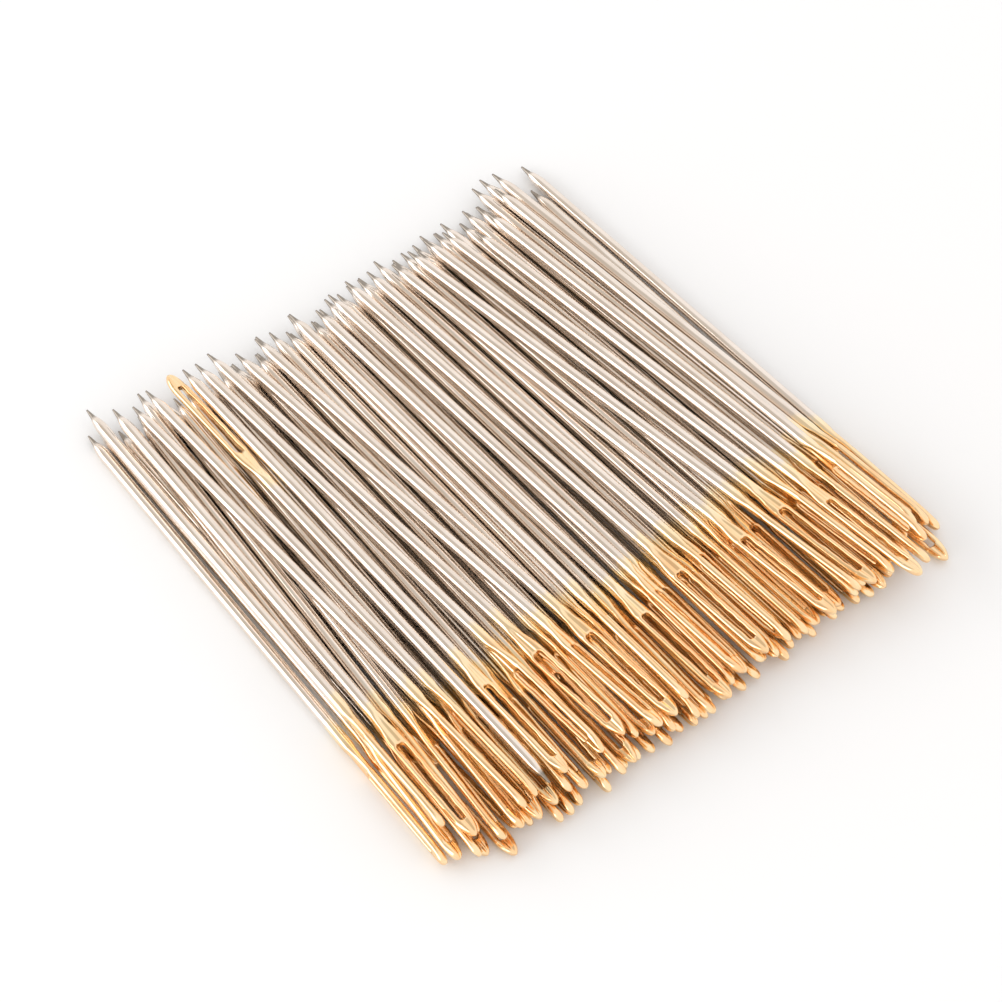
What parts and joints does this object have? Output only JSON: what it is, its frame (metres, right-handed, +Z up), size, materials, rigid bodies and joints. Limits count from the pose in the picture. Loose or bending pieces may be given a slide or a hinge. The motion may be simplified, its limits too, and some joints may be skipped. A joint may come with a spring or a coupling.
{
  "type": "tapestry needles",
  "caption": "Loose heap of blunt needlework needles with long open eyes: nickel-plated shafts side by side, gold-plated eye ends, one needle lying turned round on top.",
  "frame": {"origin": "middle of the heap's box, on the table that it lies on", "axes": "+X along the row from the left needle to the right one, +Y along the needles towards their points, +Z up"},
  "size_m": [0.0376, 0.0412, 0.0036],
  "materials": {
    "plated_steel": "polished steel wire with bright nickel plating on the shaft and gold plating over the eye end, about 10.8 mm long; ground nib bare and dark"
  },
  "bodies": {
    "heap": {"bottom_needles_01": "plated_steel", "bottom_needles_02": "plated_steel", "bottom_needles_03": "plated_steel", "bottom_needles_04": "plated_steel", "bottom_needles_05": "plated_steel", "bottom_needles_06": "plated_steel", "bottom_needles_07": "plated_steel", "bottom_needles_08": "plated_steel", "bottom_needles_09": "plated_steel", "bottom_needles_10": "plated_steel", "bottom_needles_11": "plated_steel", "middle_needles_01": "plated_steel", "middle_needles_02": "plated_steel", "middle_needles_03": "plated_steel", "middle_needles_04": "plated_steel", "middle_needles_05": "plated_steel", "middle_needles_06": "plated_steel", "middle_needles_07": "plated_steel", "middle_needles_08": "plated_steel", "middle_needles_09": "plated_steel", "middle_needles_10": "plated_steel", "middle_needles_11": "plated_steel", "middle_needles_12": "plated_steel", "middle_needles_13": "plated_steel", "middle_needles_14": "plated_steel", "middle_needles_15": "plated_steel", "middle_needles_16": "plated_steel", "middle_needles_17": "plated_steel", "middle_needles_18": "plated_steel"},
    "top_needle_01": {"top_needle_01": "plated_steel"},
    "top_needle_02": {"top_needle_02": "plated_steel"},
    "top_needle_03": {"top_needle_03": "plated_steel"},
    "top_needle_04": {"top_needle_04": "plated_steel"},
    "top_needle_05": {"top_needle_05": "plated_steel"},
    "top_needle_06": {"top_needle_06": "plated_steel"},
    "top_needle_07": {"top_needle_07": "plated_steel"},
    "top_needle_08": {"top_needle_08": "plated_steel"},
    "top_needle_09": {"top_needle_09": "plated_steel"},
    "top_needle_10": {"top_needle_10": "plated_steel"},
    "top_needle_11": {"top_needle_11": "plated_steel"},
    "top_needle_12": {"top_needle_12": "plated_steel"},
    "top_needle_13": {"top_needle_13": "plated_steel"},
    "top_needle_14": {"top_needle_14": "plated_steel"},
    "top_needle_15": {"top_needle_15": "plated_steel"},
    "top_needle_16": {"top_needle_16": "plated_steel"},
    "top_needle_17": {"top_needle_17": "plated_steel"},
    "top_needle_18": {"top_needle_18": "plated_steel"},
    "top_needle_19": {"top_needle_19": "plated_steel"},
    "top_needle_20": {"top_needle_20": "plated_steel"},
    "top_needle_21": {"top_needle_21": "plated_steel"},
    "turned_needle": {"turned_needle": "plated_steel"}
  },
  "joints": [
    {"name": "top_needle_01_lift", "type": "slide", "parent": "heap", "child": "top_needle_01", "axis": [0, 0, 1], "range_m": [0, 0.02]},
    {"name": "top_needle_02_lift", "type": "slide", "parent": "heap", "child": "top_needle_02", "axis": [0, 0, 1], "range_m": [0, 0.02]},
    {"name": "top_needle_03_lift", "type": "slide", "parent": "heap", "child": "top_needle_03", "axis": [0, 0, 1], "range_m": [0, 0.02]},
    {"name": "top_needle_04_lift", "type": "slide", "parent": "heap", "child": "top_needle_04", "axis": [0, 0, 1], "range_m": [0, 0.02]},
    {"name": "top_needle_05_lift", "type": "slide", "parent": "heap", "child": "top_needle_05", "axis": [0, 0, 1], "range_m": [0, 0.02]},
    {"name": "top_needle_06_lift", "type": "slide", "parent": "heap", "child": "top_needle_06", "axis": [0, 0, 1], "range_m": [0, 0.02]},
    {"name": "top_needle_07_lift", "type": "slide", "parent": "heap", "child": "top_needle_07", "axis": [0, 0, 1], "range_m": [0, 0.02]},
    {"name": "top_needle_08_lift", "type": "slide", "parent": "heap", "child": "top_needle_08", "axis": [0, 0, 1], "range_m": [0, 0.02]},
    {"name": "top_needle_09_lift", "type": "slide", "parent": "heap", "child": "top_needle_09", "axis": [0, 0, 1], "range_m": [0, 0.02]},
    {"name": "top_needle_10_lift", "type": "slide", "parent": "heap", "child": "top_needle_10", "axis": [0, 0, 1], "range_m": [0, 0.02]},
    {"name": "top_needle_11_lift", "type": "slide", "parent": "heap", "child": "top_needle_11", "axis": [0, 0, 1], "range_m": [0, 0.02]},
    {"name": "top_needle_12_lift", "type": "slide", "parent": "heap", "child": "top_needle_12", "axis": [0, 0, 1], "range_m": [0, 0.02]},
    {"name": "top_needle_13_lift", "type": "slide", "parent": "heap", "child": "top_needle_13", "axis": [0, 0, 1], "range_m": [0, 0.02]},
    {"name": "top_needle_14_lift", "type": "slide", "parent": "heap", "child": "top_needle_14", "axis": [0, 0, 1], "range_m": [0, 0.02]},
    {"name": "top_needle_15_lift", "type": "slide", "parent": "heap", "child": "top_needle_15", "axis": [0, 0, 1], "range_m": [0, 0.02]},
    {"name": "top_needle_16_lift", "type": "slide", "parent": "heap", "child": "top_needle_16", "axis": [0, 0, 1], "range_m": [0, 0.02]},
    {"name": "top_needle_17_lift", "type": "slide", "parent": "heap", "child": "top_needle_17", "axis": [0, 0, 1], "range_m": [0, 0.02]},
    {"name": "top_needle_18_lift", "type": "slide", "parent": "heap", "child": "top_needle_18", "axis": [0, 0, 1], "range_m": [0, 0.02]},
    {"name": "top_needle_19_lift", "type": "slide", "parent": "heap", "child": "top_needle_19", "axis": [0, 0, 1], "range_m": [0, 0.02]},
    {"name": "top_needle_20_lift", "type": "slide", "parent": "heap", "child": "top_needle_20", "axis": [0, 0, 1], "range_m": [0, 0.02]},
    {"name": "top_needle_21_lift", "type": "slide", "parent": "heap", "child": "top_needle_21", "axis": [0, 0, 1], "range_m": [0, 0.02]},
    {"name": "turned_needle_lift", "type": "slide", "parent": "heap", "child": "turned_needle", "axis": [0, 0, 1], "range_m": [0, 0.02]}
  ]
}
